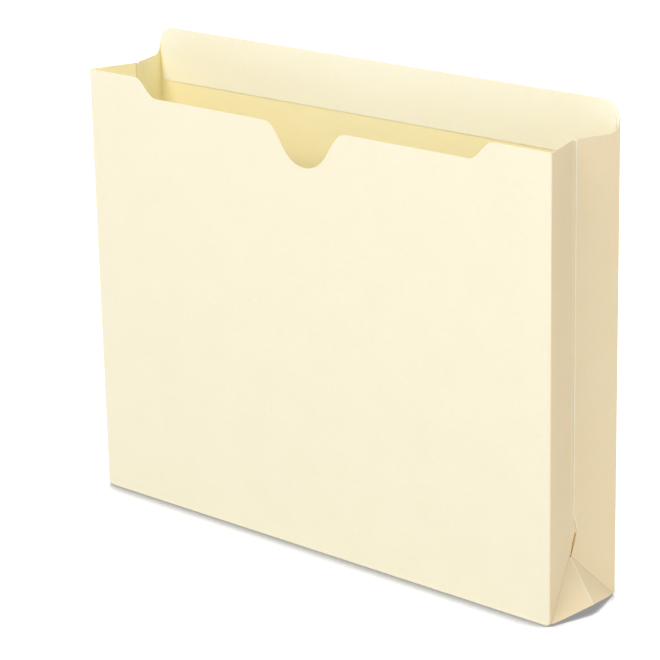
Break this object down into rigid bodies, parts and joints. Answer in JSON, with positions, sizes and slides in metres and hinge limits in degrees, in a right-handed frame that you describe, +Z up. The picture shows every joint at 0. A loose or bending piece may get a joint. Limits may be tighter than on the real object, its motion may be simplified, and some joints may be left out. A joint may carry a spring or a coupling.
{
  "type": "expanding file jacket",
  "caption": "Open-top manila file jacket with a straight reinforced tab on its back panel, a recessed front edge with a thumb notch, and inward-folding side and bottom gussets.",
  "frame": {"origin": "middle of the footprint, on the surface that the jacket stands on", "axes": "+X along the width, +Y from the front panel to the back panel that carries the tab, +Z up"},
  "size_m": [0.3096, 0.0508, 0.2413],
  "materials": {
    "manila_panel": "matte pale cream manila, 11 point",
    "manila_strip": "matte pale cream manila",
    "manila_gusset": "matte cream manila",
    "glue": "dried adhesive film"
  },
  "bodies": {
    "back_panel": {"back_panel": "manila_panel", "tab_glue_film": "glue", "tab_reinforcement_strip": "manila_strip"},
    "right_back_leaf": {"right_back_leaf": "manila_gusset", "right_seam_glue_line": "glue", "right_seam_flap": "manila_gusset"},
    "right_front_leaf": {"right_front_leaf": "manila_gusset"},
    "front_panel": {"front_panel": "manila_panel"},
    "left_back_leaf": {"left_back_leaf": "manila_gusset", "left_seam_glue_line": "glue", "left_seam_flap": "manila_gusset"},
    "left_front_leaf": {"left_front_leaf": "manila_gusset"},
    "bottom_back_leaf": {"bottom_back_leaf": "manila_gusset"},
    "bottom_front_leaf": {"bottom_front_leaf": "manila_gusset"},
    "right_back_corner_web": {"right_back_corner_web": "manila_gusset"},
    "right_front_corner_web": {"right_front_corner_web": "manila_gusset"},
    "left_back_corner_web": {"left_back_corner_web": "manila_gusset"},
    "left_front_corner_web": {"left_front_corner_web": "manila_gusset"}
  },
  "joints": [
    {"name": "right_back_crease", "type": "hinge", "parent": "back_panel", "child": "right_back_leaf", "pos_m": [0.1488, 0.02499, 0], "axis": [0, 0, -1], "range_deg": [-14.5, 68.5]},
    {"name": "right_gusset_fold", "type": "hinge", "parent": "right_back_leaf", "child": "right_front_leaf", "pos_m": [0.14274, 0, 0], "axis": [0, 0, 1], "range_deg": [-29, 137]},
    {"name": "right_front_crease", "type": "hinge", "parent": "right_front_leaf", "child": "front_panel", "pos_m": [0.1488, -0.02499, 0], "axis": [0, 0, -1], "range_deg": [-14.5, 68.5]},
    {"name": "left_back_crease", "type": "hinge", "parent": "back_panel", "child": "left_back_leaf", "pos_m": [-0.1488, 0.02499, 0], "axis": [0, 0, 1], "range_deg": [-14.5, 68.5]},
    {"name": "left_gusset_fold", "type": "hinge", "parent": "left_back_leaf", "child": "left_front_leaf", "pos_m": [-0.14274, 0, 0], "axis": [0, 0, -1], "range_deg": [-29, 137]},
    {"name": "bottom_back_crease", "type": "hinge", "parent": "back_panel", "child": "bottom_back_leaf", "pos_m": [0, 0.02499, 0.00164], "axis": [-1, 0, 0], "range_deg": [-14.5, 68.5]},
    {"name": "bottom_fold", "type": "hinge", "parent": "bottom_back_leaf", "child": "bottom_front_leaf", "pos_m": [0, 0, 0.00769], "axis": [1, 0, 0], "range_deg": [-29, 137]},
    {"name": "right_back_mitre", "type": "hinge", "parent": "right_back_leaf", "child": "right_back_corner_web", "pos_m": [0.14935, 0.02481, 0.00043], "axis": [-0.2126, -0.6744, 0.7071], "range_deg": [-27.7, 130.84]},
    {"name": "right_front_mitre", "type": "hinge", "parent": "right_front_leaf", "child": "right_front_corner_web", "pos_m": [0.14935, -0.02481, 0.00043], "axis": [0.2126, -0.6744, -0.7071], "range_deg": [-27.7, 130.84]},
    {"name": "left_back_mitre", "type": "hinge", "parent": "left_back_leaf", "child": "left_back_corner_web", "pos_m": [-0.14935, 0.02481, 0.00043], "axis": [-0.2126, 0.6744, -0.7071], "range_deg": [-27.7, 130.84]},
    {"name": "left_front_mitre", "type": "hinge", "parent": "left_front_leaf", "child": "left_front_corner_web", "pos_m": [-0.14935, -0.02481, 0.00043], "axis": [0.2126, 0.6744, 0.7071], "range_deg": [-27.7, 130.84]}
  ],
  "couplings": [
    {"joint": "right_gusset_fold", "follows": "right_back_crease", "ratio": 2},
    {"joint": "right_front_crease", "follows": "right_back_crease", "ratio": 1},
    {"joint": "left_back_crease", "follows": "right_back_crease", "ratio": 1},
    {"joint": "left_gusset_fold", "follows": "right_back_crease", "ratio": 2},
    {"joint": "bottom_back_crease", "follows": "right_back_crease", "ratio": 1},
    {"joint": "bottom_fold", "follows": "right_back_crease", "ratio": 2},
    {"joint": "right_back_mitre", "follows": "right_back_crease", "ratio": 1.91},
    {"joint": "right_front_mitre", "follows": "right_back_crease", "ratio": 1.91},
    {"joint": "left_back_mitre", "follows": "right_back_crease", "ratio": 1.91},
    {"joint": "left_front_mitre", "follows": "right_back_crease", "ratio": 1.91}
  ]
}
